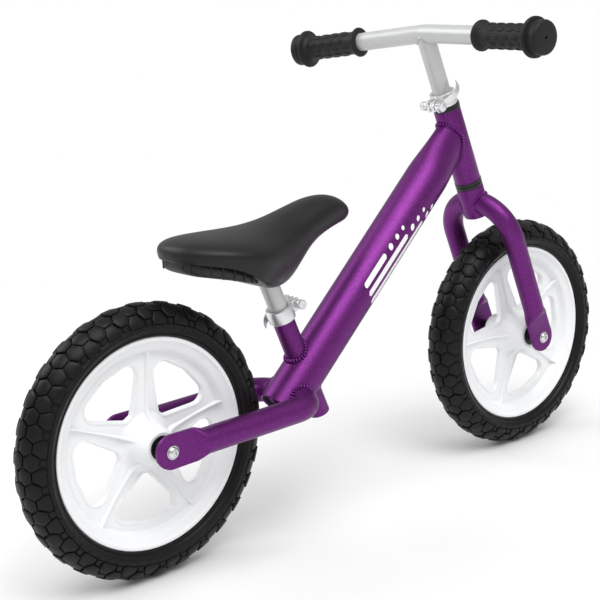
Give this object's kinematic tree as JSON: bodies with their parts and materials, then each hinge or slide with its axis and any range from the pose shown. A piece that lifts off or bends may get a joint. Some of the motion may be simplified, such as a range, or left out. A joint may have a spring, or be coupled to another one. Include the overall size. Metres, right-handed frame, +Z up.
{
  "type": "balance bike",
  "caption": "Small pedal-less ride-on bicycle: thick sloping main tube, flattened stays and fork, five-spoke plastic wheels, foam tyres, clamped saddle and swept handlebar.",
  "frame": {"origin": "on the floor midway between the two wheels, in the wheels' middle plane", "axes": "+X forward, +Y to the rider's left, +Z up"},
  "size_m": [0.8914, 0.384, 0.567],
  "materials": {
    "purple": "satin",
    "bright": "polished",
    "pale": "satin",
    "black_metal": "satin",
    "grip": "matte",
    "saddle": "satin",
    "pan": "matte",
    "rim": "semi-gloss",
    "tyre": "matte",
    "steel": "polished"
  },
  "bodies": {
    "frame": {"main_tube": "purple", "head_tube": "purple", "seat_tube": "purple", "stay_left": "purple", "stay_right": "purple", "frame_welds": "purple", "headset_lower_cup": "black_metal", "headset_upper_cup": "black_metal", "steering_bearings": "steel", "seat_collar": "bright", "seat_skewer": "steel", "seat_nut": "bright", "rear_axle": "steel", "rear_hub_sleeve": "bright", "rear_spacers": "bright", "rear_bolts": "steel", "rear_washers": "steel"},
    "fork": {"fork_steerer": "bright", "fork_crown": "purple", "fork_leg_left": "purple", "fork_leg_right": "purple", "fork_welds": "purple", "headset_crown_race": "black_metal", "headset_top_cap": "black_metal", "stem_collar": "bright", "stem_skewer": "steel", "stem_nut": "bright", "front_axle": "steel", "front_hub_sleeve": "bright", "front_spacers": "bright", "front_bolts": "steel", "front_washers": "steel"},
    "handlebar": {"stem_tube": "pale", "handlebar": "pale", "stem_weld": "pale", "grip_left": "grip", "grip_right": "grip"},
    "saddle": {"seat_post": "pale", "post_plate": "steel", "saddle_pan": "pan", "saddle_pad": "saddle", "saddle_screws": "steel"},
    "stem_lever": {"stem_lever": "bright"},
    "seat_lever": {"seat_lever": "bright"},
    "front_wheel": {"front_tyre": "tyre", "front_rim": "rim", "front_spokes": "rim", "front_hub": "rim", "front_bearings": "black_metal"},
    "rear_wheel": {"rear_tyre": "tyre", "rear_rim": "rim", "rear_spokes": "rim", "rear_hub": "rim", "rear_bearings": "black_metal"}
  },
  "joints": [
    {"name": "steering", "type": "hinge", "parent": "frame", "child": "fork", "pos_m": [0.2957, 0, 0.15], "axis": [-0.3567, 0, 0.9342], "continuous": true},
    {"name": "bar_height", "type": "slide", "parent": "fork", "child": "handlebar", "axis": [-0.3567, 0, 0.9342], "range_m": [-0.015, 0.045]},
    {"name": "saddle_height", "type": "slide", "parent": "frame", "child": "saddle", "axis": [-0.3649, 0, 0.9311], "range_m": [-0.015, 0.04]},
    {"name": "stem_lever_turn", "type": "hinge", "parent": "fork", "child": "stem_lever", "pos_m": [0.15221, -0.0148, 0.46129], "axis": [0.6807, 0, -0.7325], "range_deg": [0, 150]},
    {"name": "seat_lever_turn", "type": "hinge", "parent": "frame", "child": "seat_lever", "pos_m": [-0.07942, 0.0148, 0.25934], "axis": [0.5793, 0, -0.8151], "range_deg": [0, 150]},
    {"name": "front_wheel_spin", "type": "hinge", "parent": "fork", "child": "front_wheel", "pos_m": [0.2957, 0, 0.15], "axis": [0, 1, 0], "continuous": true},
    {"name": "rear_wheel_spin", "type": "hinge", "parent": "frame", "child": "rear_wheel", "pos_m": [-0.2957, 0, 0.15], "axis": [0, 1, 0], "continuous": true}
  ]
}
